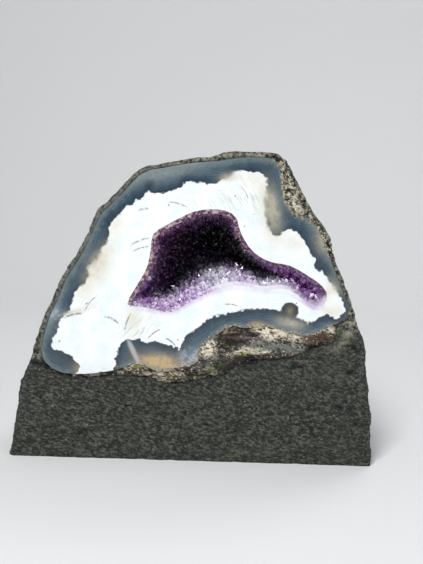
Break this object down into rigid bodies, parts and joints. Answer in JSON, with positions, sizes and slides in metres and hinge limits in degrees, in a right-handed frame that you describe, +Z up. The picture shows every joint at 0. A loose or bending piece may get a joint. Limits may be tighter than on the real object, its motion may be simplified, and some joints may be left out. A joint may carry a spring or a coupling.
{
  "type": "geode half",
  "caption": "Sawn and polished half of an amethyst geode with banded agate, a crystal cavity and a flat sawn base to stand on.",
  "frame": {"origin": "on the sawn bottom, below the middle of the stone's bounding box", "axes": "+Z up, +X to the right of the polished face seen from the front, -Y out of the polished face"},
  "size_m": [0.1146, 0.0622, 0.0971],
  "materials": {
    "basalt": "rough, finely rippled dark grey rock",
    "agate": "polished white and slate blue banded agate",
    "amethyst": "glossy purple crystal points",
    "contact_minerals": "crumbly tan, green and brown minerals",
    "rim_minerals": "rough speckled cream and black minerals"
  },
  "bodies": {
    "root": {"basalt_matrix": "basalt", "agate_shell": "agate", "amethyst_druse": "amethyst", "contact_crust": "contact_minerals", "rim_crust": "rim_minerals"}
  },
  "joints": []
}
